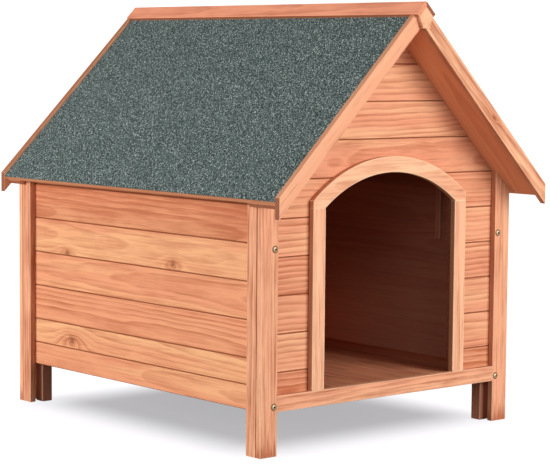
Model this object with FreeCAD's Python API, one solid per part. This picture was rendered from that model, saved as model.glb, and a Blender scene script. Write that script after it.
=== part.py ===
import FreeCAD, Part
import math
import os

V = FreeCAD.Vector

# A pitched-roof wooden dog house, in millimetres. +X is the right-hand wall seen from the front,
# the door gable faces -Y, and Z = 0 is the ground under the eight corner boards and four posts.

# Body
body_width = 650.0            # over the corner boards
body_depth = 790.0            # over the front and rear corner boards
ground_clearance = 82.0       # from the ground to the underside of the walls
board_thick = 13.0            # corner boards, rails and door trim
corner_face_width = 40.0      # corner boards on the two gables
corner_side_width = 28.0      # corner boards on the two side walls
post_size = 24.0              # square posts inside the corners
clearance = 0.3               # between pieces that are only pushed together

# Tongue-and-groove planks
plank_thick = 12.0
plank_cover = 70.5            # height that one plank covers
tongue_thick = 4.0
tongue_height = 5.0
joint_gap = 0.3               # between the shoulders of two planks
joint_chamfer = 1.3           # on the outer edges, it makes the V of each joint
gable_planks_apart = 7        # planks above this one in the front gable share a node
rail_height = 30.0
skirting_height = 47.0
narrow_cover = 49.5           # the first side plank, above the skirting

# Doorway
door_width = 340.0            # between the jambs
jamb_height = 339.0           # from the rail to the arch
arch_rise = 60.5
trim_width = 30.5
plank_setback = 6.0           # planks end this far behind the edge of the trim

# Floor
sill_height = 2.0             # of the rail above the floor
floor_board_thick = 12.0
floor_board_count = 8
floor_gap = 1.0
bearer_width = 24.0

# Roof
roof_pitch = 45.0
wall_height = 466.0           # from the ground to the roof slope, at the corner boards' sides
eave_overhang = 23.0          # barge boards past the corner boards' sides
front_overhang = 84.0         # ridge cap ahead of the front corner boards
rear_overhang = 33.0
rafter_thick = 10.0
roof_board_thick = 10.0
roof_board_count = 6
felt_thick = 2.0
barge_thick = 12.0
barge_width = 28.0
barge_rise = 5.0              # barge boards stand this far above the felt
beam_foot_width = 17.0
beam_shoulder_width = 33.0
beam_nose = 9.0               # ridge beam ahead of the front barge boards
cap_thick = 8.0
cap_width = 34.0

# Cleats that tie the side walls to the roof
cleat_thick = 10.0
cleat_width = 14.0
cleat_drop = 109.0            # of their lower ends below the walls' height
cleat_inset = 160.0           # from the gable faces

# Furniture bolts through the corners into the posts
bolt_head_diameter = 11.0
bolt_head_height = 2.6
bolt_diameter = 5.0
bolt_grip = 16.0              # length in the post
bolt_edge = 8.0               # from the inner edge of a corner board
bolt_low_offset = 10.0        # above the underside of the walls
bolt_spacing = 289.0          # between the two bolts of a corner
socket_width = 4.0            # across the flats of the six-sided socket
socket_depth = 3.0

# Places worked out from the sizes above
half_width = body_width / 2
eave_half_width = half_width + eave_overhang
roof_depth = front_overhang + body_depth + rear_overhang
roof_front = -roof_depth / 2
roof_rear = roof_depth / 2
front_face = roof_front + front_overhang
rear_face = roof_rear - rear_overhang
rail_top = ground_clearance + rail_height
floor_top = rail_top - sill_height
floor_bottom = floor_top - floor_board_thick
wall_skin = board_thick + plank_thick          # from a corner board's face to the room
room_half_width = half_width - wall_skin
pitch = math.radians(roof_pitch)
gable_apex = wall_height + half_width * math.tan(pitch)    # where the gable's slopes meet
roof_stack = felt_thick + roof_board_thick + rafter_thick
felt_apex = gable_apex + roof_stack / math.cos(pitch)
boards_apex = gable_apex + rafter_thick / math.cos(pitch)
beam_seat = gable_apex - beam_foot_width / 2 * math.tan(pitch)
eave_top = felt_apex - eave_half_width * math.tan(pitch)
barge_front = roof_front + beam_nose
boards_front = barge_front + barge_thick
boards_rear = roof_rear - barge_thick
arch_base = rail_top + jamb_height
arch_radius = ((door_width / 2) ** 2 + arch_rise ** 2) / (2 * arch_rise)
arch_centre = arch_base + arch_rise - arch_radius
bolt_x = half_width - corner_face_width + bolt_edge
low_bolt = ground_clearance + bolt_low_offset
bolt_heights = [low_bolt, low_bolt + bolt_spacing]

SIDES = {"left": -1, "right": 1}
ENDS = {"front": -1, "rear": 1}


# ---- helpers ----

def block(x, y, z):
    """A box between pairs of coordinates, in either order."""
    low = V(min(x), min(y), min(z))
    size = V(max(x), max(y), max(z)) - low
    return Part.makeBox(size.x, size.y, size.z, low)


def prism(points, start, length):
    """A polygon of points extruded along the vector length, from the vector start."""
    corners = [p + start for p in points]
    wire = Part.makePolygon(corners + corners[:1])
    return Part.Face(wire).extrude(length)


def along_y(points, y0, y1):
    """(x, z) points extruded from y0 to y1."""
    return prism([V(x, 0, z) for x, z in points], V(0, y0, 0), V(0, y1 - y0, 0))


def along_x(points, x0, x1):
    """(y, z) points extruded from x0 to x1."""
    return prism([V(0, y, z) for y, z in points], V(x0, 0, 0), V(x1 - x0, 0, 0))


def inward(end, distance):
    """The Y of a plane at a distance inside the front or the rear face of the body."""
    if end == "front":
        return front_face + distance
    return rear_face - distance


def under_slopes(apex, flat_top=None):
    """Everything under two roof slopes that meet at height apex, cut flat at flat_top."""
    reach = eave_half_width
    foot = apex - reach * math.tan(pitch)
    points = [(-reach, 0), (reach, 0), (reach, foot)]
    if flat_top is None:
        points += [(0, apex)]
    else:
        half = (apex - flat_top) / math.tan(pitch)
        points += [(half, flat_top), (-half, flat_top)]
    points += [(-reach, foot)]
    return along_y(points, roof_front, roof_rear)


def roof_point(side, across, up):
    """(x, z) on a roof slope: across is the depth under the felt, up the way from the eave."""
    x = eave_half_width - up * math.cos(pitch) - across * math.sin(pitch)
    z = eave_top + up * math.sin(pitch) - across * math.cos(pitch)
    return (SIDES[side] * x, z)


def plank_profile(thick, low, high, groove=True, tongue=True):
    """A plank's section as (depth, height), depth 0 being the face with the chamfers."""
    middle = thick / 2
    shoulder = high - joint_gap
    top = [(0, shoulder - joint_chamfer), (joint_chamfer, shoulder), (thick, shoulder)]
    if tongue:
        half = tongue_thick / 2
        tip = shoulder + tongue_height
        top[2:2] = [(middle - half, shoulder), (middle - half, tip),
                    (middle + half, tip), (middle + half, shoulder)]
    bottom = [(thick, low), (joint_chamfer, low), (0, low + joint_chamfer)]
    if groove:
        half = tongue_thick / 2 + clearance
        end = low + tongue_height + clearance
        bottom[1:1] = [(middle + half, low), (middle + half, end),
                       (middle - half, end), (middle - half, low)]
    return top + bottom


def bolt_holes():
    """Clearance holes for the corner bolts, through the walls and into the posts."""
    radius = bolt_diameter / 2 + clearance
    holes = []
    for side in SIDES.values():
        for z in bolt_heights:
            for end, into in (("front", 1), ("rear", -1)):
                depth = wall_skin + bolt_grip + clearance
                start = V(side * bolt_x, inward(end, 0), z)
                holes.append(Part.makeCylinder(radius, depth, start, V(0, into, 0)))
    return Part.makeCompound(holes)


# ---- corners ----

def corner_board(side, end):
    """Upright board on a gable face, cut along the roof slope at its top."""
    x = SIDES[side] * half_width
    board = block((x, x - SIDES[side] * corner_face_width),
                  (inward(end, 0), inward(end, board_thick)), (0, gable_apex))
    return board.common(under_slopes(gable_apex)).cut(bolt_holes())


def side_corner_board(side, end):
    """Upright board on a side wall, butted behind the corner board of the gable."""
    x = SIDES[side] * half_width
    board = block((x, x - SIDES[side] * board_thick),
                  (inward(end, board_thick), inward(end, board_thick + corner_side_width)),
                  (0, gable_apex))
    return board.common(under_slopes(gable_apex))


def inner_post(side, end):
    """Square post in the corner of the room, from the ground to the roof boards."""
    x = SIDES[side] * room_half_width
    post = block((x, x - SIDES[side] * post_size),
                 (inward(end, wall_skin), inward(end, wall_skin + post_size)),
                 (0, felt_apex))
    return post.common(under_slopes(boards_apex)).cut(bolt_holes())


def bottom_rail(end):
    """Board between the corner boards, across the foot of a gable wall."""
    x = half_width - corner_face_width
    return block((-x, x), (inward(end, 0), inward(end, board_thick)),
                 (ground_clearance, rail_top))


# ---- walls ----

def gable_planks(end):
    """Planks of a gable wall, from the lowest up, cut along the roof slopes."""
    x = half_width - board_thick
    out = inward(end, board_thick)
    into = 1 if end == "front" else -1
    wall = under_slopes(gable_apex, beam_seat).cut(bolt_holes())
    planks = []
    low = ground_clearance
    while low < beam_seat:
        last = low + plank_cover + tongue_height > beam_seat
        section = plank_profile(plank_thick, low, low + plank_cover,
                                groove=bool(planks), tongue=not last)
        points = [(out + into * depth, z) for depth, z in section]
        planks.append(along_x(points, -x, x).common(wall))
        low += plank_cover
    return planks


def door_opening(setback):
    """The doorway through the front wall: two upright sides under an arch."""
    half = door_width / 2 + setback
    radius = arch_radius + setback
    spring = arch_centre + math.sqrt(radius ** 2 - half ** 2)
    y = inward("front", -board_thick)
    left_foot, right_foot = V(-half, y, floor_top), V(half, y, floor_top)
    left, right = V(-half, y, spring), V(half, y, spring)
    top = V(0, y, arch_centre + radius)
    edges = [Part.LineSegment(left_foot, right_foot), Part.LineSegment(right_foot, right),
             Part.Arc(right, top, left), Part.LineSegment(left, left_foot)]
    wire = Part.Wire([edge.toShape() for edge in edges])
    return Part.Face(wire).extrude(V(0, 3 * wall_skin, 0))


def side_wall(side):
    """Skirting and planks of a side wall, from the lowest up."""
    sign = SIDES[side]
    out = sign * (half_width - board_thick)
    y0, y1 = inward("front", wall_skin), inward("rear", wall_skin)
    roof = under_slopes(boards_apex)
    top = boards_apex - room_half_width * math.tan(pitch)
    joints = [ground_clearance, ground_clearance + skirting_height]
    joints.append(joints[-1] + narrow_cover)
    while joints[-1] + plank_cover + tongue_height <= top:
        joints.append(joints[-1] + plank_cover)
    joints.append(top + plank_cover)
    rows = len(joints) - 1
    boards = []
    for row in range(rows):
        section = plank_profile(plank_thick, joints[row], joints[row + 1],
                                groove=row > 1, tongue=0 < row < rows - 1)
        board = along_y([(out - sign * d, z) for d, z in section], y0, y1)
        boards.append(board.common(roof))
    return boards


# ---- doorway ----

def door_jamb(side):
    """Upright trim beside the doorway, standing on the front rail."""
    x = SIDES[side] * door_width / 2
    return block((x, x + SIDES[side] * trim_width),
                 (inward("front", 0), inward("front", board_thick)), (rail_top, arch_base))


def door_arch():
    """Arched trim over the doorway, cut from one board, with upright ends."""
    inner, outer = door_width / 2, door_width / 2 + trim_width
    radius = arch_radius + trim_width
    shoulder = arch_centre + math.sqrt(radius ** 2 - outer ** 2)
    y = inward("front", 0)

    def at(x, z):
        return V(x, y, z)

    edges = [
        Part.Arc(at(-inner, arch_base), at(0, arch_base + arch_rise), at(inner, arch_base)),
        Part.LineSegment(at(inner, arch_base), at(outer, arch_base)),
        Part.LineSegment(at(outer, arch_base), at(outer, shoulder)),
        Part.Arc(at(outer, shoulder), at(0, arch_centre + radius), at(-outer, shoulder)),
        Part.LineSegment(at(-outer, shoulder), at(-outer, arch_base)),
        Part.LineSegment(at(-outer, arch_base), at(-inner, arch_base)),
    ]
    wire = Part.Wire([edge.toShape() for edge in edges])
    return Part.Face(wire).extrude(V(0, board_thick, 0))


# ---- floor ----

def floor_boards():
    """Boards from the front wall to the rear wall, notched round the posts."""
    step = 2 * room_half_width / floor_board_count
    y0, y1 = inward("front", wall_skin + clearance), inward("rear", wall_skin + clearance)
    reach = room_half_width - post_size - clearance
    depth = wall_skin + post_size + clearance
    corners = [block((side * reach, side * half_width), (inward(end, 0), inward(end, depth)),
                     (0, rail_top)) for side in SIDES.values() for end in ENDS]
    posts = Part.makeCompound(corners)
    boards = []
    for i in range(floor_board_count):
        x = -room_half_width + i * step + floor_gap / 2
        board = block((x, x + step - floor_gap), (y0, y1), (floor_bottom, floor_top))
        boards.append(board.cut(posts))
    return Part.makeCompound(boards)


def floor_bearers():
    """Three bearers under the floor: two between the posts and one between the side walls."""
    z = (ground_clearance, floor_bottom)
    reach = room_half_width - post_size
    bearers = [block((-reach, reach), (inward(end, wall_skin),
                                       inward(end, wall_skin + bearer_width)), z)
               for end in ENDS]
    middle = (front_face + rear_face) / 2
    bearers.append(block((-room_half_width, room_half_width),
                         (middle - bearer_width / 2, middle + bearer_width / 2), z))
    return Part.makeCompound(bearers)


# ---- roof ----

def ridge_profile(extra, top):
    """The ridge beam's section, wider by extra on each side, with its slopes up to top."""
    foot = beam_foot_width / 2 + extra
    shoulder = beam_shoulder_width / 2 + extra
    z = top - beam_shoulder_width / 2 * math.tan(pitch)
    return [(-foot, beam_seat), (foot, beam_seat), (shoulder, z), (0, top), (-shoulder, z)]


def ridge_beam():
    """Beam that rests on the two gables and shows its five-sided end at the front."""
    return along_y(ridge_profile(0, felt_apex), roof_front, roof_rear)


def ridge_space():
    """The beam with clearance, open above and below, for what is fitted against it."""
    profile = ridge_profile(clearance, felt_apex)
    foot, shoulder = profile[1], profile[2]
    points = [(-foot[0], 0), (foot[0], 0), foot, shoulder, (shoulder[0], 2 * felt_apex),
              (-shoulder[0], 2 * felt_apex), (-shoulder[0], shoulder[1]), (-foot[0], foot[1])]
    return along_y(points, roof_front, roof_rear)


def cap_profile(side, extra=0.0):
    """A ridge cap board's section, mitred at the top, grown by extra."""
    sign = SIDES[side]
    inner_apex = felt_apex - extra / math.cos(pitch)
    outer_apex = felt_apex + (cap_thick + extra) / math.cos(pitch)
    reach = (cap_width + extra) * math.cos(pitch)
    low = outer_apex - reach * math.tan(pitch)
    deep = cap_thick + 2 * extra
    return [(0, inner_apex), (0, outer_apex), (sign * reach, low),
            (sign * (reach - deep * math.sin(pitch)), low - deep * math.cos(pitch))]


def ridge_cap(side):
    """Board along the ridge, lying on the felt and on the beam."""
    return along_y(cap_profile(side), roof_front, roof_rear)


def roof_layer(side, over, under, y0, y1):
    """A flat layer of the roof between two depths under the felt's top face."""
    length = eave_half_width / math.cos(pitch)
    points = [roof_point(side, over, 0), roof_point(side, over, length),
              roof_point(side, under, length), roof_point(side, under, 0)]
    return along_y(points, y0, y1).cut(ridge_space())


def roof_felt(side):
    """Mineral-coated bitumen felt on one slope."""
    return roof_layer(side, 0, felt_thick, boards_front, boards_rear)


def roof_boards(side):
    """Boards of one slope, from the eave up, their chamfered joints facing down."""
    under = felt_thick + roof_board_thick
    length = eave_half_width / math.cos(pitch)
    cover = (length - beam_shoulder_width / 2) / roof_board_count
    boards = []
    for i in range(roof_board_count):
        last = i == roof_board_count - 1
        high = length if last else (i + 1) * cover
        section = plank_profile(roof_board_thick, i * cover, high,
                                groove=i > 0, tongue=not last)
        points = [roof_point(side, under - depth, up) for depth, up in section]
        boards.append(along_y(points, boards_front, boards_rear).cut(ridge_space()))
    return Part.makeCompound(boards)


def rafter(side, end):
    """Wide flat rafter under the roof boards, from the barge board to the room."""
    over = felt_thick + roof_board_thick
    outer = boards_front if end == "front" else boards_rear
    y0, y1 = sorted((outer, inward(end, wall_skin)))
    return roof_layer(side, over, roof_stack, y0, y1)


def barge_board(side, end):
    """Board that covers the end of one slope, cut plumb at the eave and fitted to the ridge."""
    sign = SIDES[side]
    top = felt_apex + barge_rise / math.cos(pitch)
    low = top - barge_width / math.cos(pitch)
    drop = eave_half_width * math.tan(pitch)
    points = [(0, low), (0, top), (sign * eave_half_width, top - drop),
              (sign * eave_half_width, low - drop)]
    y0 = barge_front if end == "front" else boards_rear
    board = along_y(points, y0, y0 + barge_thick)
    cap = along_y(cap_profile(side, clearance), roof_front, roof_rear)
    return board.cut(ridge_space()).cut(cap)


# ---- fittings ----

def side_cleats():
    """Four short uprights on the side walls, from the planks up to the roof boards."""
    cleats = []
    for side in SIDES.values():
        for end in ENDS:
            y0 = inward(end, cleat_inset)
            y1 = inward(end, cleat_inset + cleat_width)
            x = side * room_half_width
            cleat = block((x, x - side * cleat_thick), (y0, y1),
                          (wall_height - cleat_drop, felt_apex))
            cleats.append(cleat.common(under_slopes(boards_apex)))
    return Part.makeCompound(cleats)


def hex_socket():
    """Six-sided recess for a key, along +Y through the crown of a bolt's head."""
    corner = socket_width / 2 / math.cos(math.radians(30))
    turns = [math.radians(60 * i) for i in range(6)]
    points = [V(corner * math.cos(turn), 0, corner * math.sin(turn)) for turn in turns]
    return prism(points, V(0, -2 * bolt_head_height, 0), V(0, bolt_head_height + socket_depth, 0))


def corner_bolt():
    """Bolt with a domed head, lying along +Y with the underside of its head at the origin."""
    radius = bolt_head_diameter / 2
    shank = bolt_diameter / 2
    length = wall_skin + bolt_grip
    rim, crown, tip = V(radius, 0, 0), V(0, -bolt_head_height, 0), V(0, length, 0)
    ball = (radius ** 2 + bolt_head_height ** 2) / (2 * bolt_head_height)
    half = math.asin(radius / ball) / 2
    middle = V(ball * math.sin(half), ball - bolt_head_height - ball * math.cos(half), 0)
    edges = [Part.Arc(crown, middle, rim),
             Part.LineSegment(rim, V(shank, 0, 0)),
             Part.LineSegment(V(shank, 0, 0), V(shank, length, 0)),
             Part.LineSegment(V(shank, length, 0), tip),
             Part.LineSegment(tip, crown)]
    wire = Part.Wire([edge.toShape() for edge in edges])
    return Part.Face(wire).revolve(V(0, 0, 0), V(0, 1, 0), 360).cut(hex_socket())


def corner_bolts():
    """Two bolts through each corner board of the gables."""
    bolts = []
    for side in SIDES.values():
        for z in bolt_heights:
            for end in ENDS:
                bolt = corner_bolt()
                if end == "rear":
                    bolt.rotate(V(0, 0, 0), V(0, 0, 1), 180)
                bolt.translate(V(side * bolt_x, inward(end, 0), z))
                bolts.append(bolt)
    return Part.makeCompound(bolts)


# ---- assembly ----

def collect_nodes():
    """Every piece by name."""
    nodes = {}
    for end in ENDS:
        for side in SIDES:
            nodes[f"{end}_{side}_corner_board"] = corner_board(side, end)
            nodes[f"{end}_{side}_side_board"] = side_corner_board(side, end)
            nodes[f"{end}_{side}_post"] = inner_post(side, end)
            nodes[f"{end}_{side}_rafter"] = rafter(side, end)
            nodes[f"{end}_{side}_barge_board"] = barge_board(side, end)
        nodes[f"{end}_rail"] = bottom_rail(end)

    opening = door_opening(plank_setback)
    front = [plank.cut(opening) for plank in gable_planks("front")]
    for i, plank in enumerate(front[:gable_planks_apart]):
        nodes[f"front_plank_{i + 1}"] = plank
    nodes["front_gable_planks"] = Part.makeCompound(front[gable_planks_apart:])
    nodes["rear_planks"] = Part.makeCompound(gable_planks("rear"))

    for side in SIDES:
        skirting, *planks = side_wall(side)
        nodes[f"{side}_skirting"] = skirting
        for i, plank in enumerate(planks):
            nodes[f"{side}_plank_{i + 1}"] = plank
        nodes[f"door_jamb_{side}"] = door_jamb(side)
        nodes[f"roof_boards_{side}"] = roof_boards(side)
        nodes[f"roof_felt_{side}"] = roof_felt(side)
        nodes[f"ridge_cap_{side}"] = ridge_cap(side)

    nodes["door_arch"] = door_arch()
    nodes["floor_boards"] = floor_boards()
    nodes["floor_bearers"] = floor_bearers()
    nodes["ridge_beam"] = ridge_beam()
    nodes["side_cleats"] = side_cleats()
    nodes["corner_bolts"] = corner_bolts()
    return nodes


os.makedirs("parts", exist_ok=True)
for name, shape in collect_nodes().items():
    shape.exportStep(f"parts/{name}.step")
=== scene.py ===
import math
import random

import bmesh
import bpy
from mathutils import Matrix, Vector


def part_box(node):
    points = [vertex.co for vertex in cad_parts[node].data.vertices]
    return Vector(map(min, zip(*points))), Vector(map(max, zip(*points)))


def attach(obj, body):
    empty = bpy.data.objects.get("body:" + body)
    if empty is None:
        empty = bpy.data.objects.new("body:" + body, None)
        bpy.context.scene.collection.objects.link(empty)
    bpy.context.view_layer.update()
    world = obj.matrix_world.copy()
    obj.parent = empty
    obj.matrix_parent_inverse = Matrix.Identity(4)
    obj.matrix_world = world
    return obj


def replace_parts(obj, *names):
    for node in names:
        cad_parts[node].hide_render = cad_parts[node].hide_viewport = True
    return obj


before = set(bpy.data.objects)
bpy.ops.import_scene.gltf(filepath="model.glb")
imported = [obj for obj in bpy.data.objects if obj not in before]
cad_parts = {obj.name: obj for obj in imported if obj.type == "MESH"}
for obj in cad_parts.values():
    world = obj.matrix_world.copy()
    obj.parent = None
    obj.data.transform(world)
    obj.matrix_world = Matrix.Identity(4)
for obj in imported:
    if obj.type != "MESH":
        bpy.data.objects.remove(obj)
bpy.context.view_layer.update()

# A wooden dog house. +X is its right-hand wall seen from the doorway, -Y the doorway, +Z up.
MM = 0.001
X, Y, Z = Vector((1, 0, 0)), Vector((0, 1, 0)), Vector((0, 0, 1))
SIDES = {"left": -1, "right": 1}
ENDS = {"front": -1, "rear": 1}
ROOF_PITCH = math.radians(45)
BODY_MIDDLE = 25.5 * MM           # halfway from the front face to the rear face
BOLT_X = 293 * MM                 # from the middle to a corner bolt
ROOM_HALF = 300 * MM              # from the middle to a side wall's inner face

# Working the boards
WELD = 0.01 * MM
FLAT = math.radians(1)            # two faces that turn less than this are one
SHARP = math.radians(30)          # edges that turn more than this have an arris
SHORT = 3 * MM                    # edges shorter than this, round bolt holes, have none
CHAMFER_LEAN = (0.55, 0.85)       # of a plank joint's chamfer, towards the neighbouring plank
TAPER = 0.02                      # how much a log's heart leans from the boards sawn from it
LEAN = 0.012                      # and how much it wanders sideways

# Knots by node and board, as (place in mm, radius in mm)
KNOTS = {
    ("left_plank_4", 0): (((-312, 262, 325), 7), ((-312, -92, 331), 8)),
    ("left_plank_1", 0): (((-312, 246, 146), 11),),
    ("front_plank_1", 0): (((-250, -356.5, 100), 10),),
    ("front_right_barge_board", 0): (((197, -444.5, 614), 2.5),),
}
KNOT_LAYERS = ("knot_a", "knot_b")
# Boards sawn flat through the log, and how much its heart leans from them
FLAT_SAWN = {("front_plank_7", 0): 0.04, ("front_plank_1", 0): 0.05, ("left_plank_3", 0): 0.035}
# Some boards' looks: how deep the colour is, how much sapwood, and how plain the rings are
BOARD_LOOKS = {
    # left_plank_6 and left_plank_5 are deeper, as painted shade under the eave.
    ("left_plank_6", 0): (0.5, -0.6, 0.6),
    ("left_plank_5", 0): (0.54, -0.5, 0.6),
    ("left_plank_4", 0): (0.1, 0.0, 0.45),
    ("left_plank_3", 0): (0.03, -0.4, 0.8),
    ("left_plank_2", 0): (0.04, -0.8, 1.2),
    ("left_plank_1", 0): (0.02, 0.3, 0.9),
    ("left_skirting", 0): (0.02, -0.2, 0.6),
    ("front_plank_1", 0): (0.4, -0.5, 0.9),
    ("front_plank_2", 0): (-0.02, 0.3, 0.9),
    ("front_plank_2", 1): (0.10, -0.3, 0.8),
    ("front_plank_3", 0): (0.12, -0.4, 0.9),
    ("front_plank_3", 1): (0.06, 0.1, 0.7),
    ("front_plank_4", 0): (0.22, -0.5, 1.1),
    ("front_plank_4", 1): (0.08, -0.2, 0.9),
    ("front_plank_5", 0): (-0.08, 0.1, 1.0),
    ("front_plank_5", 1): (0.02, 0.2, 0.8),
    ("front_plank_6", 0): (0.02, 0.2, 0.7),
    ("front_plank_7", 0): (0.08, -0.1, 0.6),
    ("front_gable_planks", 0): (-0.04, 0.1, 0.8),
    ("front_gable_planks", 1): (0.0, 0.2, 0.6),
    ("front_gable_planks", 2): (0.12, -0.2, 0.6),
    ("ridge_cap_left", 0): (0.05, -0.9, 0.8),
    ("ridge_beam", 0): (-0.15, 0.5, 0.15),
}


# ---- shader helpers ----

def feed(tree, socket, value):
    """Links value to a socket, or sets it there when it is a constant."""
    if value is None:
        return
    if isinstance(value, bpy.types.NodeSocket):
        tree.links.new(value, socket)
    elif isinstance(value, tuple) and len(value) == 3 and socket.type == "RGBA":
        socket.default_value = (*value, 1.0)
    else:
        socket.default_value = value


def calc(tree, operation, a, b=None, clamp=False):
    """A Math node."""
    node = tree.nodes.new("ShaderNodeMath")
    node.operation = operation
    node.use_clamp = clamp
    for socket, value in zip(node.inputs, (a, b)):
        feed(tree, socket, value)
    return node.outputs[0]


def plus(tree, a, b, clamp=False):
    """a + b"""
    return calc(tree, "ADD", a, b, clamp=clamp)


def minus(tree, a, b):
    """a - b"""
    return calc(tree, "SUBTRACT", a, b)


def times(tree, a, b):
    """a * b"""
    return calc(tree, "MULTIPLY", a, b)


def larger(tree, a, b):
    """The larger of a and b."""
    return calc(tree, "MAXIMUM", a, b)


def centred(tree, value, depth):
    """A 0 to 1 value as a change of up to half of depth either way."""
    return times(tree, minus(tree, value, 0.5), depth)


def length_of(tree, a, b):
    """The length of two parts at right angles."""
    return calc(tree, "SQRT", plus(tree, times(tree, a, a), times(tree, b, b)))


def ramp(tree, value, low, high, out_low=0.0, out_high=1.0, smooth=True):
    """Map Range from low..high to out_low..out_high, clamped."""
    node = tree.nodes.new("ShaderNodeMapRange")
    node.interpolation_type = "SMOOTHSTEP" if smooth else "LINEAR"
    node.clamp = True
    for socket, number in zip(node.inputs, (value, low, high, out_low, out_high)):
        feed(tree, socket, number)
    return node.outputs[0]


def blend(tree, factor, a, b):
    """A Mix node for colours, from a at 0 to b at 1."""
    node = tree.nodes.new("ShaderNodeMix")
    node.data_type = "RGBA"
    node.clamp_factor = True
    feed(tree, node.inputs[0], factor)
    feed(tree, node.inputs[6], a)
    feed(tree, node.inputs[7], b)
    return node.outputs[2]


def noise(tree, vector, scale, detail=2.0, roughness=0.5):
    """A Noise Texture's factor."""
    node = tree.nodes.new("ShaderNodeTexNoise")
    feed(tree, node.inputs["Vector"], vector)
    feed(tree, node.inputs["Scale"], scale)
    node.inputs["Detail"].default_value = detail
    node.inputs["Roughness"].default_value = roughness
    return node.outputs["Fac"]


def stretched(tree, vector, scale, offset=None):
    """A vector times a scale for each axis, and moved by offset."""
    node = tree.nodes.new("ShaderNodeVectorMath")
    node.operation = "MULTIPLY_ADD"
    feed(tree, node.inputs[0], vector)
    feed(tree, node.inputs[1], scale)
    feed(tree, node.inputs[2], offset)
    return node.outputs[0]


def split(tree, vector):
    """The three parts of a vector."""
    node = tree.nodes.new("ShaderNodeSeparateXYZ")
    feed(tree, node.inputs[0], vector)
    return node.outputs


def object_place(tree):
    """Object coordinates."""
    return tree.nodes.new("ShaderNodeTexCoord").outputs["Object"]


def attribute(tree, name, output="Vector"):
    """A value that the piece's mesh carries."""
    node = tree.nodes.new("ShaderNodeAttribute")
    node.attribute_name = name
    return node.outputs[output]


def new_group(name, inputs, outputs):
    """A shader node group with named sockets; each is (name, kind, default)."""
    group = bpy.data.node_groups.new(name, "ShaderNodeTree")
    for label, kind, default in inputs:
        socket = group.interface.new_socket(label, in_out="INPUT", socket_type=kind)
        socket.default_value = default
    for label, kind in outputs:
        group.interface.new_socket(label, in_out="OUTPUT", socket_type=kind)
    given = group.nodes.new("NodeGroupInput").outputs
    return group, given, group.nodes.new("NodeGroupOutput").inputs


def use_group(tree, group, **values):
    """A group node in tree, with its inputs set or linked by name."""
    node = tree.nodes.new("ShaderNodeGroup")
    node.node_tree = group
    for label, value in values.items():
        feed(tree, node.inputs[label.replace("_", " ")], value)
    return node.outputs


def new_material(name):
    """A material with a Principled BSDF: (material, its tree, the shader's inputs)."""
    material = bpy.data.materials.new(name)
    material.use_nodes = True
    tree = material.node_tree
    return material, tree, tree.nodes["Principled BSDF"].inputs


def bump(tree, height, distance, strength):
    """A Bump node's normal."""
    node = tree.nodes.new("ShaderNodeBump")
    node.inputs["Strength"].default_value = strength
    node.inputs["Distance"].default_value = distance
    feed(tree, node.inputs["Height"], height)
    return node.outputs["Normal"]


# ---- fir ----

WOOD_ROUGHNESS = (0.76, 0.62)     # between the fibres and on them
WOOD_SHEEN = 0.12
RING_SPACING = 6 * MM
RIPPLE = 1.5 * MM
SMALLEST_KNOT = 0.5 * MM          # boards without a knot have one of no size
FIBRE_DEPTH = 0.7
FLARE_DEPTH = 0.34                # beside a knot
BASE_DEPTH = 0.12                 # of the stain on a board of middling tone
FOOT_HEIGHT = 35 * MM             # up to which a corner board turns darker towards its foot
FOOT_STREAKS = 160 * MM           # how streaky that darkening is
END_COLOUR = (0.24, 0.07, 0.035)
END_COVER = 0.9
# Painted highlight on the rounded arrises, where light catches them
ARRIS_HIGHLIGHT_COLOUR = (0.95, 0.64, 0.42)
# Knot stain, and painted shade in the grooves, under the eave and round the bolts, over the wood:
# their colour, and how much of the wood they cover
KNOT_STAIN = ((0.24, 0.08, 0.03), 0.78)
GROOVE_PAINTED_SHADE = ((0.28, 0.075, 0.025), 0.8)
EAVE_PAINTED_SHADE = ((0.20, 0.06, 0.02), 0.6)
BOLT_RING_PAINTED_SHADE = ((0.16, 0.06, 0.03), 0.85)
BOLT_SHADE_RING = (2.2 * MM, 0.8 * MM)  # past the head's rim, where its ring of painted shade ends and is darkest
EAVE_SHADE = (459 * MM, 466 * MM)  # heights between which the side walls turn dark
# Painted light and shade inside the room: dark high up, lighter low down towards the back
ROOM_SHADE_COLOUR = (0.26, 0.095, 0.065)
ROOM_LOW_LIGHT_COLOUR = (0.98, 0.44, 0.29)
ROOM_COVER = 0.8
ROOM_HEIGHTS = (340 * MM, 110 * MM)
ROOM_DEPTHS = (-250 * MM, 250 * MM)


def grain_noise(tree, grain, along, across, detail=2.0, roughness=0.5, start=None):
    """Noise that is stretched by the grain; along and across say how fine it is per metre."""
    return noise(tree, stretched(tree, grain, (along, across, across), start), 1.0, detail, roughness)


def knot_reach(tree, along, across, knot):
    """Distances from a knot across and along the grain, in knot radii, and the knot's radius."""
    place = split(tree, attribute(tree, knot))
    radius = larger(tree, place[2], SMALLEST_KNOT / 5)
    far = calc(tree, "DIVIDE", minus(tree, along, place[0]), radius)
    off = calc(tree, "DIVIDE", minus(tree, across, place[1]), radius)
    return off, far, place[2]


def knot_marks(tree, grain, along, across, knot):
    """How far a knot pushes the rings aside, its own mask, and the flare of darker wood beside it."""
    off, far, size = knot_reach(tree, along, across, knot)
    there = calc(tree, "GREATER_THAN", size, SMALLEST_KNOT)
    warp = centred(tree, grain_noise(tree, grain, 160.0, 160.0, detail=1.0), 0.8)
    share = plus(tree, length_of(tree, off, times(tree, far, 0.8)), warp)
    wide = length_of(tree, off, times(tree, far, 0.4))
    bend = calc(tree, "EXPONENT", times(tree, times(tree, wide, wide), -0.3))
    push = times(tree, times(tree, bend, size), 1.6)
    rings = plus(tree, 0.5, times(tree, calc(tree, "SINE", times(tree, share, 15.0)), 0.4))
    rim = times(tree, ramp(tree, share, 1.15, 0.8), rings)
    core = larger(tree, rim, ramp(tree, share, 0.55, 0.3))
    flare = ramp(tree, wide, 2.1, 0.7)
    return [times(tree, value, there) for value in (push, core, flare)]


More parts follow.
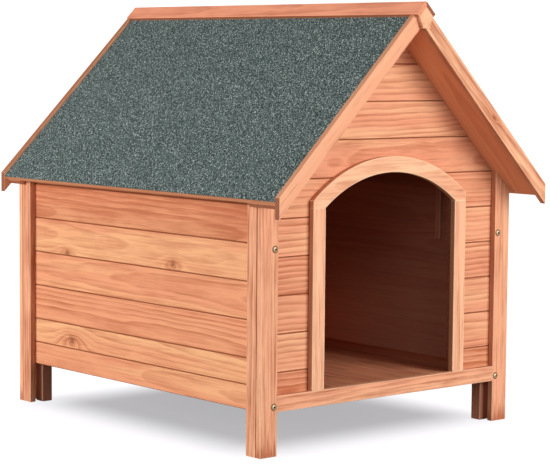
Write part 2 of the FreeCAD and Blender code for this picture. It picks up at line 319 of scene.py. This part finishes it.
def late_wood(tree, turns):
    """1 in the dark late wood of each ring, below 0 in its pale early wood; some years are fainter."""
    within = calc(tree, "FRACT", turns)
    year = tree.nodes.new("ShaderNodeTexWhiteNoise")
    year.noise_dimensions = "1D"
    tree.links.new(calc(tree, "FLOOR", turns), year.inputs["W"])
    late = times(tree, ramp(tree, within, 0.3, 0.9), ramp(tree, within, 1.0, 0.93))
    early = times(tree, ramp(tree, within, 0.3, 0.02), 0.6)
    strength = ramp(tree, year.outputs["Value"], 0.0, 1.0, 0.2, 1.0, smooth=False)
    return times(tree, minus(tree, late, early), strength)


def fir_grain_group():
    """Growth rings of a board sawn from a log, with knots, fibres, sapwood and streaks."""
    marks = ("Rings", "Fibres", "Streaks", "Sapwood", "Cloud", "Knot", "Flare", "Height")
    tree, given, out = new_group(
        "fir_grain",
        [("Ring Spacing", "NodeSocketFloat", RING_SPACING), ("Ripple", "NodeSocketFloat", RIPPLE)],
        [(mark, "NodeSocketFloat") for mark in marks])
    grain = attribute(tree, "grain")
    along, across, through = split(tree, grain)

    # The rings wander a little along the board and across it.
    drift = centred(tree, grain_noise(tree, grain, 2.2, 9.0, detail=1.0), 16 * MM)
    wave = grain_noise(tree, grain, 13.0, 9.0, detail=1.0, start=(5.0, 3.0, 8.0))
    wave = times(tree, centred(tree, wave, given["Ripple"]), 2.0)
    radius = plus(tree, plus(tree, length_of(tree, across, through), drift), wave)
    knot, flare = 0.0, 0.0
    for layer in KNOT_LAYERS:
        push, core, beside = knot_marks(tree, grain, along, across, layer)
        radius = plus(tree, radius, push)
        knot = larger(tree, knot, core)
        flare = larger(tree, flare, beside)
    rings = late_wood(tree, calc(tree, "DIVIDE", radius, given["Ring Spacing"]))

    fibres = grain_noise(tree, grain, 18.0, 700.0, roughness=0.6)
    streaks = grain_noise(tree, grain, 5.0, 210.0, detail=4.0, roughness=0.7, start=(4.0, 9.0, 2.0))
    sapwood = ramp(tree, grain_noise(tree, grain, 1.6, 22.0, start=(31.0, 7.0, 11.0)), 0.4, 0.6)
    cloud = grain_noise(tree, grain, 11.0, 32.0, detail=3.0, start=(3.0, 41.0, 19.0))
    height = minus(tree, times(tree, fibres, 0.5), times(tree, rings, 0.3))
    for mark, value in zip(marks, (rings, fibres, streaks, sapwood, cloud, knot, flare, height)):
        feed(tree, out[mark], value)
    return tree


def bolt_shade_ring_group():
    """1 on the ring of painted shade round each corner bolt's head, 0 elsewhere."""
    tree, given, out = new_group("bolt_shade_ring", [], [("Ring", "NodeSocketFloat")])
    low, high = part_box("corner_bolts")
    head = high[0] - BOLT_X
    place = split(tree, object_place(tree))
    beside = minus(tree, calc(tree, "ABSOLUTE", place[0]), BOLT_X)
    above = [calc(tree, "ABSOLUTE", minus(tree, place[2], height))
             for height in (low[2] + head, high[2] - head)]
    away = length_of(tree, beside, calc(tree, "MINIMUM", *above))
    outside, inside = BOLT_SHADE_RING
    feed(tree, out["Ring"], ramp(tree, away, head + outside, head + inside))
    return tree


def stain_depth(tree, grain, board, depths, foot_depth):
    """How deep the stain's colour is, 0 to 1."""
    depth = times(tree, grain["Rings"], times(tree, board[2], depths["Rings"]))
    for mark in ("Streaks", "Cloud", "Fibres"):
        depth = plus(tree, depth, centred(tree, grain[mark], depths[mark]))
    depth = plus(tree, depth, plus(tree, board[0], BASE_DEPTH))
    if foot_depth:
        height = split(tree, object_place(tree))[2]
        height = plus(tree, height, centred(tree, grain["Streaks"], FOOT_STREAKS))
        on_gable = minus(tree, 1.0, attribute(tree, "under_eave", "Fac"))
        foot = times(tree, on_gable, ramp(tree, height, FOOT_HEIGHT, 0.0, 0.0, foot_depth))
        depth = plus(tree, depth, foot)
    return plus(tree, depth, times(tree, grain["Flare"], FLARE_DEPTH), clamp=True)


def covered(tree, colour, mask, over, cover):
    """The colour with another over it where mask is 1."""
    return blend(tree, times(tree, mask, cover), colour, over)


def shaded(tree, colour):
    """Painted shade in the grooves and under the eaves, and painted light and shade inside the room.
    """
    # Painted shade in the joint grooves and beside the joints.
    groove = larger(tree, times(tree, attribute(tree, "edge_tone", "Fac"), -1.0), 0.0)
    colour = covered(tree, colour, groove, *GROOVE_PAINTED_SHADE)
    place = split(tree, object_place(tree))
    # Inside the room, painted shade high up and painted light low down towards the back.
    low_down = ramp(tree, place[2], *ROOM_HEIGHTS)
    far_back = ramp(tree, place[1], *ROOM_DEPTHS, 0.1, 1.0)
    room = blend(tree, times(tree, low_down, far_back), ROOM_SHADE_COLOUR, ROOM_LOW_LIGHT_COLOUR)
    colour = covered(tree, colour, attribute(tree, "inner_face", "Fac"), room, ROOM_COVER)
    # Painted shade at the top of the side walls, under the eave.
    under_eave = times(tree, ramp(tree, place[2], *EAVE_SHADE), attribute(tree, "under_eave", "Fac"))
    return covered(tree, colour, under_eave, *EAVE_PAINTED_SHADE)


def stained_fir(name, grain_group, heart, sap, deep, spacing=RING_SPACING, ripple=RIPPLE,
                ring_depth=0.5, streak_depth=1.3, cloud_depth=0.7, foot_depth=0.0,
                arris_highlight_depth=0.4, end_colour=END_COLOUR, bolt_shade_ring=None):
    """Fir with a thin orange stain: salmon heartwood, ochre sapwood, deep late wood and knots."""
    material, tree, shader = new_material(name)
    grain = use_group(tree, grain_group, Ring_Spacing=spacing, Ripple=ripple)
    board = split(tree, attribute(tree, "board"))
    depths = {"Rings": ring_depth, "Streaks": streak_depth, "Cloud": cloud_depth,
              "Fibres": FIBRE_DEPTH}

    colour = blend(tree, plus(tree, grain["Sapwood"], board[1], clamp=True), heart, sap)
    colour = blend(tree, stain_depth(tree, grain, board, depths, foot_depth), colour, deep)
    colour = covered(tree, colour, grain["Knot"], *KNOT_STAIN)
    colour = covered(tree, colour, attribute(tree, "end_grain", "Fac"), end_colour, END_COVER)
    # The rounded arrises get a painted highlight.
    arris_highlight = larger(tree, attribute(tree, "edge_tone", "Fac"), 0.0)
    colour = covered(tree, colour, arris_highlight, ARRIS_HIGHLIGHT_COLOUR, arris_highlight_depth)
    colour = shaded(tree, colour)
    # A ring of painted shade round each bolt head.
    if bolt_shade_ring:
        colour = covered(tree, colour, use_group(tree, bolt_shade_ring)["Ring"], *BOLT_RING_PAINTED_SHADE)
    feed(tree, shader["Base Color"], colour)
    feed(tree, shader["Roughness"], ramp(tree, grain["Fibres"], 0.3, 0.7, *WOOD_ROUGHNESS))
    shader["Specular IOR Level"].default_value = WOOD_SHEEN
    feed(tree, shader["Normal"], bump(tree, grain["Height"], 0.25 * MM, 0.35))
    return material


# ---- roofing felt, metal and ground ----

GRANULE = 1.9 * MM
# Neighbouring granules, as steps along the axes
NEIGHBOURS = ((0.0, 0.0, 0.0), (2.2 * MM, 2.2 * MM, 0.0), (0.0, -2.4 * MM, 2.0 * MM))
DARK_SLATE, PALE_SLATE = (0.008, 0.020, 0.019), (0.168, 0.222, 0.208)
PALEST_SLATE, BITUMEN = (0.60, 0.68, 0.65), (0.004, 0.009, 0.009)
FELT_CLOUD = (0.05, 0.08, 0.085)
FELT_BUMP = 0.6 * MM
ZINC, DULL_ZINC = (0.86, 0.70, 0.46), (0.62, 0.48, 0.28)
# The rim and the socket of a bolt head get painted shade.
BOLT_RIM = (4.3 * MM, 5.3 * MM)    # distances from the axis between which the colour changes
BOLT_SOCKET = (2.5 * MM, 2.2 * MM)
PAPER_FADE = (1.1, 1.9)            # metres from the middle, where the paper turns see-through
SHADE_ACROSS = (385 * MM, 205 * MM)
SHADE_ALONG = (440 * MM, 250 * MM)
SHADE_DEPTH = 0.55
PAPER_GLOW = 0.97


def roofing_felt():
    """Bitumen sheet covered with crushed slate: grey-green granules, pale and black evenly mixed.

    A granule's shade is its own less those of two neighbours, so that no pale or dark clumps form.
    """
    material, tree, shader = new_material("roofing_felt")
    place = object_place(tree)
    shades, rises = [], []
    for offset in NEIGHBOURS:
        cells = tree.nodes.new("ShaderNodeTexVoronoi")
        cells.inputs["Scale"].default_value = 1.0 / GRANULE
        tree.links.new(stretched(tree, place, (1.0, 1.0, 1.0), offset), cells.inputs["Vector"])
        parts = tree.nodes.new("ShaderNodeSeparateColor")
        tree.links.new(cells.outputs["Color"], parts.inputs[0])
        shades.append(parts.outputs[0])
        rises.append(times(tree, cells.outputs["Distance"], -1.0))
    around = times(tree, plus(tree, shades[1], shades[2]), 0.5)
    shade = plus(tree, minus(tree, shades[0], around), 0.5)
    cloud = noise(tree, place, 7.0, detail=3.0)
    colour = blend(tree, ramp(tree, shade, 0.05, 0.95, smooth=False), DARK_SLATE, PALE_SLATE)
    colour = blend(tree, ramp(tree, shade, 0.92, 1.1), colour, PALEST_SLATE)
    colour = blend(tree, ramp(tree, shade, 0.14, 0.0), colour, BITUMEN)
    colour = blend(tree, ramp(tree, cloud, 0.35, 0.65, 0.0, 0.10), colour, FELT_CLOUD)
    feed(tree, shader["Base Color"], colour)
    shader["Roughness"].default_value = 0.9
    shader["Specular IOR Level"].default_value = 0.25
    feed(tree, shader["Normal"], bump(tree, rises[0], FELT_BUMP, 0.7))
    return material


def bolt_metal():
    """Yellow zinc plate: a satin crown, with painted shade on its rim and in its socket."""
    material, tree, shader = new_material("bolt_metal")
    place = object_place(tree)
    dull = noise(tree, place, 700.0, detail=3.0)
    off_axis = attribute(tree, "off_axis", "Fac")
    colour = blend(tree, dull, ZINC, DULL_ZINC)
    # Painted shade on the rim of the head, and darker painted shade in the socket.
    colour = blend(tree, ramp(tree, off_axis, *BOLT_RIM), colour, (0.20, 0.12, 0.05))
    colour = blend(tree, ramp(tree, off_axis, *BOLT_SOCKET), colour, (0.05, 0.03, 0.015))
    feed(tree, shader["Base Color"], colour)
    shader["Metallic"].default_value = 0.6
    feed(tree, shader["Roughness"], ramp(tree, dull, 0.3, 0.7, 0.42, 0.6))
    return material


def studio_floor():
    """White paper that fades into the white surroundings, with a soft grey shade under the house.

    It isn't seen from below.
    """
    material, tree, shader = new_material("studio_floor")
    seen = tree.nodes.new("ShaderNodeLightPath").outputs["Is Camera Ray"]
    below = tree.nodes.new("ShaderNodeNewGeometry").outputs["Backfacing"]
    place = split(tree, object_place(tree))
    fade = ramp(tree, length_of(tree, place[0], place[1]), *PAPER_FADE, 1.0, 0.0)
    beside = calc(tree, "ABSOLUTE", place[0])
    beyond = calc(tree, "ABSOLUTE", minus(tree, place[1], BODY_MIDDLE))
    shade = times(tree, ramp(tree, beside, *SHADE_ACROSS), ramp(tree, beyond, *SHADE_ALONG))
    glow = times(tree, minus(tree, 1.0, times(tree, shade, SHADE_DEPTH)), PAPER_GLOW)
    feed(tree, shader["Base Color"], blend(tree, seen, (0.30, 0.29, 0.28), (0.13, 0.13, 0.13)))
    feed(tree, shader["Alpha"], times(tree, minus(tree, 1.0, below), fade))
    shader["Emission Color"].default_value = (0.98, 0.97, 1.0, 1.0)
    feed(tree, shader["Emission Strength"], times(tree, seen, glow))
    shader["Roughness"].default_value = 0.9
    shader["Specular IOR Level"].default_value = 0.0
    return material


# ---- boards ----

def merged_copy(node):
    """The node's solids as one clean mesh: doubles merged and flat faces joined."""
    mesh = bmesh.new()
    mesh.from_mesh(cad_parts[node].data)
    bmesh.ops.remove_doubles(mesh, verts=mesh.verts, dist=WELD)
    bmesh.ops.dissolve_limit(mesh, angle_limit=FLAT, verts=mesh.verts, edges=mesh.edges,
                             use_dissolve_boundaries=False)
    return mesh


def middle_of(verts):
    """The mean place of some vertices."""
    return sum((v.co for v in verts), Vector()) / len(verts)


# Added before rounding to whole millimetres, so that boards that lie level at a half stay level.
OFF_HALF = 0.1 * MM


def separate_boards(mesh):
    """Lists of the vertices of each loose board, lowest and leftmost first."""
    mesh.verts.index_update()
    left = set(mesh.verts)
    boards = []
    while left:
        reached = {left.pop()}
        waiting = list(reached)
        while waiting:
            vert = waiting.pop()
            for edge in vert.link_edges:
                other = edge.other_vert(vert)
                if other in left:
                    left.discard(other)
                    reached.add(other)
                    waiting.append(other)
        boards.append(sorted(reached, key=lambda vert: vert.index))

    def place(board):
        middle = middle_of(board)
        return tuple(round(value + OFF_HALF, 3) for value in (middle.z, middle.y, middle.x))

    return sorted(boards, key=place)


def round_arrises(mesh, width, tones, joint=None):
    """Rounds the sharp edges and marks the new faces for a painted highlight, or for painted shade
    beside a joint's plane.
    """
    sharp = [e for e in mesh.edges if len(e.link_faces) == 2 and e.calc_length() > SHORT
             and e.calc_face_angle(0.0) > SHARP]
    made = bmesh.ops.bevel(mesh, geom=sharp, offset=width, offset_type="OFFSET", segments=2,
                           profile=0.5, affect="EDGES", clamp_overlap=True, material=-1)
    for face in made["faces"]:
        face[tones] = 1.0
        if joint is not None and abs(face.calc_center_median().y - joint) < 2 * width:
            face[tones] = -1.0


def mark_faces(mesh, axes, ends, grooves, sheltered, shade, edges):
    """Marks cut ends, faces towards the room for their painted light and shade, and edges with painted
    shade; gives the layer of the edge tones.
    """
    along, across, through = axes
    tones = mesh.faces.layers.float.new("edge_tone")
    cut_ends = mesh.faces.layers.float.new("end_grain")
    inner = mesh.faces.layers.float.new("inner_face")
    for face in mesh.faces:
        face[cut_ends] = ends if abs(face.normal.dot(along)) > 0.6 else 0.0
        face[inner] = 1.0 if grooves and face.normal.dot(through) < -0.9 else 0.0
        if any(face.normal.dot(side) > 0.9 for side in sheltered):
            face[tones] = -shade
        elif abs(face.normal.dot(through)) < 0.1:
            face[tones] = edges
        # The chamfers of the plank joints get painted shade.
        if grooves and CHAMFER_LEAN[0] < abs(face.normal.dot(across)) < CHAMFER_LEAN[1]:
            face[tones] = -1.0
    return tones


def place_in_log(point, middle, start, axes, sideways, inwards):
    """Where a board's point lay in its log: along it, and to the side of and above its heart."""
    along, across, through = axes
    offset = point - middle
    length = offset.dot(along)
    return start + Vector((length, offset.dot(across) + sideways * length,
                           offset.dot(through) + inwards * length))


def widen_board(board, across, gap):
    """Moves a board's sides out by gap, but not those that a wall holds."""
    middle = middle_of(board)
    for vert in board:
        if abs(vert.co.dot(across)) < ROOM_HALF - 2 * gap:
            vert.co += math.copysign(gap, (vert.co - middle).dot(across)) * across


def lay_grain(mesh, node, axes, tone, pith, eave, widen):
    """Gives each board its own place in a log, its look and its knots."""
    chance = random.Random(node)
    grain = mesh.verts.layers.float_vector.new("grain")
    looks = mesh.verts.layers.float_vector.new("board")
    under_eave = mesh.verts.layers.float.new("under_eave")
    knot_layers = [mesh.verts.layers.float_vector.new(label) for label in KNOT_LAYERS]
    for i, board in enumerate(separate_boards(mesh)):
        middle = middle_of(board)
        start = Vector((chance.uniform(2, 60), chance.choice((-1, 1)) * chance.uniform(*pith),
                        chance.uniform(0.03, 0.09)))
        slope = chance.choice((-1, 1)) * chance.uniform(0.4, 1.0)
        turn = chance.choice((-1, 1)) * chance.uniform(0.2, 1.0)
        any_look = (chance.uniform(-0.08, 0.1), chance.uniform(-0.7, 0.5), chance.uniform(0.5, 1.1))
        own_tone, own_sap, own_rings = BOARD_LOOKS.get((node, i), any_look)
        look = Vector((tone + own_tone, own_sap, own_rings))
        if (node, i) in FLAT_SAWN:
            start.y *= 0.1
        log = (middle, start, axes, turn * LEAN, slope * FLAT_SAWN.get((node, i), TAPER))

        if widen:
            widen_board(board, axes[1], widen)
        for vert in board:
            vert[grain] = place_in_log(vert.co, *log)
            vert[looks] = look
            vert[under_eave] = eave
        for layer, (spot, radius) in zip(knot_layers, KNOTS.get((node, i), ())):
            place = place_in_log(Vector(spot) * MM, *log)
            for vert in board:
                vert[layer] = Vector((place.x, place.y, radius * MM))


def dress(node, material, axes, arris=0.0, joint=None, grooves=False, ends=0.8, tone=0.0,
          pith=(0.0, 0.03), sheltered=(), shade=0.45, edges=0.0, eave=0.0, widen=0.0):
    """Replaces a CAD node by boards with rounded arrises and a grain.

    axes are along, across and through the boards. pith is how far to the side the log's heart lies,
    from and to, in metres. sheltered holds the directions that the boards' edges with painted
    shade face, shade is how dark these are, and edges is the tone of all edges, below 0 where they get
    painted shade. eave is 1 on the boards of the side walls, which get painted shade under the eave.
    widen narrows the gaps between neighbouring boards.
    """
    mesh = merged_copy(node)
    tones = mark_faces(mesh, axes, ends, grooves, sheltered, shade, edges)
    if arris:
        round_arrises(mesh, arris, tones, joint)
    lay_grain(mesh, node, axes, tone, pith, eave, widen)
    bmesh.ops.triangulate(mesh, faces=[f for f in mesh.faces if len(f.verts) > 4])
    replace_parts(new_piece(f"{node}.fir", mesh, material), node)


def new_piece(name, mesh, material):
    """A Blender object from a bmesh, riding on the body."""
    data = bpy.data.meshes.new(name)
    mesh.to_mesh(data)
    mesh.free()
    data.materials.append(material)
    piece = bpy.data.objects.new(name, data)
    bpy.context.scene.collection.objects.link(piece)
    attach(piece, "root")
    return piece


# ---- the house ----

def dress_walls(gable_finish, side_finish):
    """Gable planks and side planks with their skirting."""
    pith = (0.05, 0.11)
    for i in range(1, 8):
        dress(f"front_plank_{i}", gable_finish, (X, Z, -Y), grooves=True, pith=pith)
    dress("front_gable_planks", gable_finish, (X, Z, -Y), grooves=True, pith=pith)
    dress("rear_planks", gable_finish, (X, Z, Y), grooves=True, pith=pith)
    for side, sign in SIDES.items():
        wall = (Y, Z, sign * X)
        dress(f"{side}_skirting", side_finish, wall, grooves=True)
        for i in range(1, 7):
            dress(f"{side}_plank_{i}", side_finish, wall, grooves=True, eave=1.0)


def back_of(node, end):
    """How far along Y a board on a gable has its back."""
    low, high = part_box(node)
    return high[1] if end == "front" else low[1]


def dress_corners(trim, framing):
    """Corner boards, side boards, inner posts and rails."""
    pith = (0.02, 0.07)
    for end, toward in ENDS.items():
        for side, sign in SIDES.items():
            face = (Z, X, toward * Y)
            joint = back_of(f"{end}_{side}_corner_board", end)
            # Each corner board's inner side gets painted shade.
            dress(f"{end}_{side}_corner_board", trim, face, arris=1.2 * MM,
                  joint=joint, pith=pith, sheltered=(-sign * X,))
            dress(f"{end}_{side}_side_board", trim, (Z, Y, sign * X), arris=1.0 * MM,
                  joint=joint, pith=pith, tone=0.24, eave=1.0)
            dress(f"{end}_{side}_post", framing, face, arris=1.3 * MM)
        dress(f"{end}_rail", trim, (X, Z, toward * Y), arris=1.2 * MM, pith=pith, tone=0.16,
              joint=back_of(f"{end}_rail", end))


def dress_doorway(trim):
    """The jambs and the arch."""
    for side in SIDES:
        # edges=-0.5 gives the sides of the jambs and of the arch painted shade.
        dress(f"door_jamb_{side}", trim, (Z, X, -Y), arris=1.5 * MM, pith=(0.02, 0.07),
              edges=-0.5, joint=back_of(f"door_jamb_{side}", "front"))
    dress("door_arch", trim, (X, Z, -Y), arris=1.5 * MM, ends=0.0, edges=-0.5,
          joint=back_of("door_arch", "front"))


def dress_floor(board, framing):
    """Floor boards and their bearers, and the cleats on the side walls."""
    dress("floor_boards", board, (Y, X, Z), arris=0.6 * MM, widen=0.4 * MM,
          pith=(0.01, 0.05))
    dress("floor_bearers", framing, (X, Y, Z), arris=0.8 * MM)
    dress("side_cleats", framing, (Z, Y, X), arris=0.8 * MM)


def dress_roof(trim, cap, underside):
    """Rafters, roof boards, barge boards, ridge beam and caps."""
    for side, sign in SIDES.items():
        # The barge boards' top edges, the roof boards' lower edges and the caps' lower edges get
        # painted shade.
        down = Vector((sign * math.cos(ROOF_PITCH), 0, -math.sin(ROOF_PITCH)))
        out = Vector((sign * math.sin(ROOF_PITCH), 0, math.cos(ROOF_PITCH)))
        for end, toward in ENDS.items():
            dress(f"{end}_{side}_rafter", underside, (down, Y, -out), arris=0.8 * MM)
            dress(f"{end}_{side}_barge_board", trim, (down, out, toward * Y),
                  arris=1.4 * MM, ends=1.0, tone=0.12 if side == "right" else -0.28,
                  sheltered=(out,), shade=0.45 if end == "front" else 0.9)
        dress(f"roof_boards_{side}", underside, (Y, down, -out), grooves=True,
              sheltered=(down,))
        dress(f"ridge_cap_{side}", cap, (Y, down, out), arris=1.2 * MM,
              ends=1.0 if side == "right" else 0.2, sheltered=(down,), shade=1.0)
    dress("ridge_beam", trim, (Y, X, Z), arris=0.8 * MM, ends=0.0)


def dress_felt(felt):
    """The two sheets keep their CAD meshes."""
    for side in SIDES:
        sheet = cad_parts[f"roof_felt_{side}"]
        sheet.data.materials.clear()
        sheet.data.materials.append(felt)


def dress_bolts(metal):
    """The corner bolts, with each point's distance from its bolt's axis."""
    mesh = merged_copy("corner_bolts")
    off_axis = mesh.verts.layers.float.new("off_axis")
    for bolt in separate_boards(mesh):
        middle = middle_of(bolt)
        for vert in bolt:
            vert[off_axis] = math.hypot(vert.co.x - middle.x, vert.co.z - middle.z)
    for face in mesh.faces:
        face.smooth = True
    for edge in mesh.edges:
        edge.smooth = len(edge.link_faces) == 2 and edge.calc_face_angle(0.0) < SHARP
    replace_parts(new_piece("corner_bolts.plated", mesh, metal), "corner_bolts")


# ---- studio ----

# The view of the photograph
IMAGE_WIDTH = 550
FOCAL_PIXELS = 1975.0
OPTICAL_AXIS = (277.05, 229.23)   # pixel that the lens points at, from the top left
IMAGE_MIDDLE = (275.0, 234.0)
CAMERA_PLACE = Vector((-2.6048, -3.0705, 0.7307))
CAMERA_AZIMUTH = -40.61
CAMERA_ELEVATION = 5.03
CAMERA_ROLL = 0.49

# Lights, all 4.5 m away: name, azimuth, elevation, size in metres, strength
LIGHT_DISTANCE = 4.5
SOFTBOXES = (
    ("front_light", 14, 15, 2.6, 0.93),
    ("left_light", -108, 10, 2.0, 0.90),
    ("doorway_light", -50, 14, 1.6, 0.12),
    ("rear_light", 135, 15, 2.6, 1.1),
)
SURROUNDINGS_LIGHT = 0.13
SURROUNDINGS_SEEN = 1.1
FLOOR_DROP = 0.3 * MM              # of the floor below the feet
AIM = Vector((0, 0, 0.4))          # of the lights


def direction(azimuth, elevation):
    """Unit vector towards a place at these angles in degrees; azimuth 0 is ahead of the doorway."""
    a, e = math.radians(azimuth), math.radians(elevation)
    return Vector((math.sin(a) * math.cos(e), -math.cos(a) * math.cos(e), math.sin(e)))


def photo_camera():
    """The camera at the photograph's place and angle."""
    data = bpy.data.cameras.new("photo_camera")
    data.sensor_width = 36.0
    data.lens = data.sensor_width * FOCAL_PIXELS / IMAGE_WIDTH
    data.shift_x = (IMAGE_MIDDLE[0] - OPTICAL_AXIS[0]) / IMAGE_WIDTH
    data.shift_y = (OPTICAL_AXIS[1] - IMAGE_MIDDLE[1]) / IMAGE_WIDTH
    camera = bpy.data.objects.new("photo_camera", data)
    bpy.context.scene.collection.objects.link(camera)
    back = direction(CAMERA_AZIMUTH, CAMERA_ELEVATION)
    level = Z.cross(back).normalized()
    upright = back.cross(level)
    roll = math.radians(CAMERA_ROLL)
    right = math.cos(roll) * level + math.sin(roll) * upright
    up = back.cross(right)
    turned = Matrix((right, up, back)).transposed().to_4x4()
    camera.matrix_world = Matrix.Translation(CAMERA_PLACE) @ turned
    bpy.context.scene.camera = camera


def softbox(name, azimuth, elevation, size, strength):
    """A square area light that aims at the house; strength 1 lights a white face fully."""
    data = bpy.data.lights.new(name, "AREA")
    data.shape = "SQUARE"
    data.size = size
    data.energy = strength * math.pi ** 2 * LIGHT_DISTANCE ** 2
    lamp = bpy.data.objects.new(name, data)
    bpy.context.scene.collection.objects.link(lamp)
    toward = direction(azimuth, elevation)
    lamp.location = AIM + toward * LIGHT_DISTANCE
    lamp.rotation_mode = "QUATERNION"
    lamp.rotation_quaternion = toward.to_track_quat("Z", "Y")


def studio():
    """White floor, just under the feet, white surroundings and the soft lights."""
    floor_mesh = bmesh.new()
    just_under = Matrix.Translation((0, 0, -FLOOR_DROP))
    bmesh.ops.create_grid(floor_mesh, x_segments=1, y_segments=1, size=30.0, matrix=just_under)
    data = bpy.data.meshes.new("studio_floor")
    floor_mesh.to_mesh(data)
    floor_mesh.free()
    data.materials.append(studio_floor())
    floor = bpy.data.objects.new("studio_floor", data)
    bpy.context.scene.collection.objects.link(floor)

    world = bpy.data.worlds.new("studio")
    bpy.context.scene.world = world
    world.use_nodes = True
    tree = world.node_tree
    sky = tree.nodes["Background"]
    path = tree.nodes.new("ShaderNodeLightPath")
    strength = ramp(tree, path.outputs["Is Camera Ray"], 0, 1, SURROUNDINGS_LIGHT, SURROUNDINGS_SEEN,
                    smooth=False)
    feed(tree, sky.inputs["Strength"], strength)
    sky.inputs["Color"].default_value = (1.0, 1.0, 1.0, 1.0)

    for lamp in SOFTBOXES:
        softbox(*lamp)
    bpy.context.scene.view_settings.view_transform = "Standard"


# ---- finishes and the whole scene ----

# Colours of heartwood, sapwood and late wood
SIDE_COLOURS = ((0.80, 0.335, 0.175), (0.85, 0.43, 0.215), (0.50, 0.155, 0.07))
GABLE_COLOURS = ((0.80, 0.34, 0.195), (0.85, 0.43, 0.24), (0.50, 0.155, 0.07))
TRIM_COLOURS = ((0.84, 0.39, 0.225), (0.89, 0.475, 0.275), (0.46, 0.145, 0.07))
DOOR_COLOURS = ((0.88, 0.435, 0.26), (0.94, 0.53, 0.32), (0.60, 0.24, 0.125))
CAP_COLOURS = ((0.96, 0.385, 0.225), (0.98, 0.48, 0.28), (0.58, 0.165, 0.09))
FLOOR_COLOURS = ((0.68, 0.235, 0.12), (0.75, 0.30, 0.155), (0.26, 0.07, 0.03))
FRAMING_COLOURS = ((0.42, 0.17, 0.10), (0.47, 0.21, 0.12), (0.25, 0.08, 0.045))
# The roof's underside is lighter than the other fir, as painted light.
UNDERSIDE_COLOURS = ((0.88, 0.38, 0.20), (0.92, 0.44, 0.23), (0.58, 0.19, 0.09))
GABLE_END_COLOUR = (0.10, 0.03, 0.015)


def dress_house():
    """Every board, the felt and the bolts, each in its own finish."""
    grain = fir_grain_group()
    sides = stained_fir("side_wall_fir", grain, *SIDE_COLOURS, ring_depth=0.6, streak_depth=1.75)
    gables = stained_fir("gable_fir", grain, *GABLE_COLOURS, spacing=8.5 * MM, ripple=3 * MM,
                         ring_depth=0.74, streak_depth=1.6, cloud_depth=0.9,
                         end_colour=GABLE_END_COLOUR)
    trim = stained_fir("trim_fir", grain, *TRIM_COLOURS, ring_depth=0.42, streak_depth=2.3,
                       cloud_depth=1.4, foot_depth=0.9, bolt_shade_ring=bolt_shade_ring_group())
    door_trim = stained_fir("door_trim_fir", grain, *DOOR_COLOURS, ring_depth=0.45,
                            streak_depth=2.2, cloud_depth=1.2, arris_highlight_depth=0.9)
    cap = stained_fir("ridge_cap_fir", grain, *CAP_COLOURS, ring_depth=0.4, cloud_depth=1.1,
                      arris_highlight_depth=0.1)
    floor = stained_fir("floor_fir", grain, *FLOOR_COLOURS, ring_depth=0.6, streak_depth=1.7,
                        cloud_depth=0.9)
    framing = stained_fir("framing_fir", grain, *FRAMING_COLOURS, arris_highlight_depth=0.25)
    underside = stained_fir("roof_underside_fir", grain, *UNDERSIDE_COLOURS, streak_depth=0.8,
                            cloud_depth=0.5)
    dress_walls(gables, sides)
    dress_corners(trim, framing)
    dress_doorway(door_trim)
    dress_floor(floor, framing)
    dress_roof(trim, cap, underside)
    dress_felt(roofing_felt())
    dress_bolts(bolt_metal())


dress_house()
studio()
photo_camera()
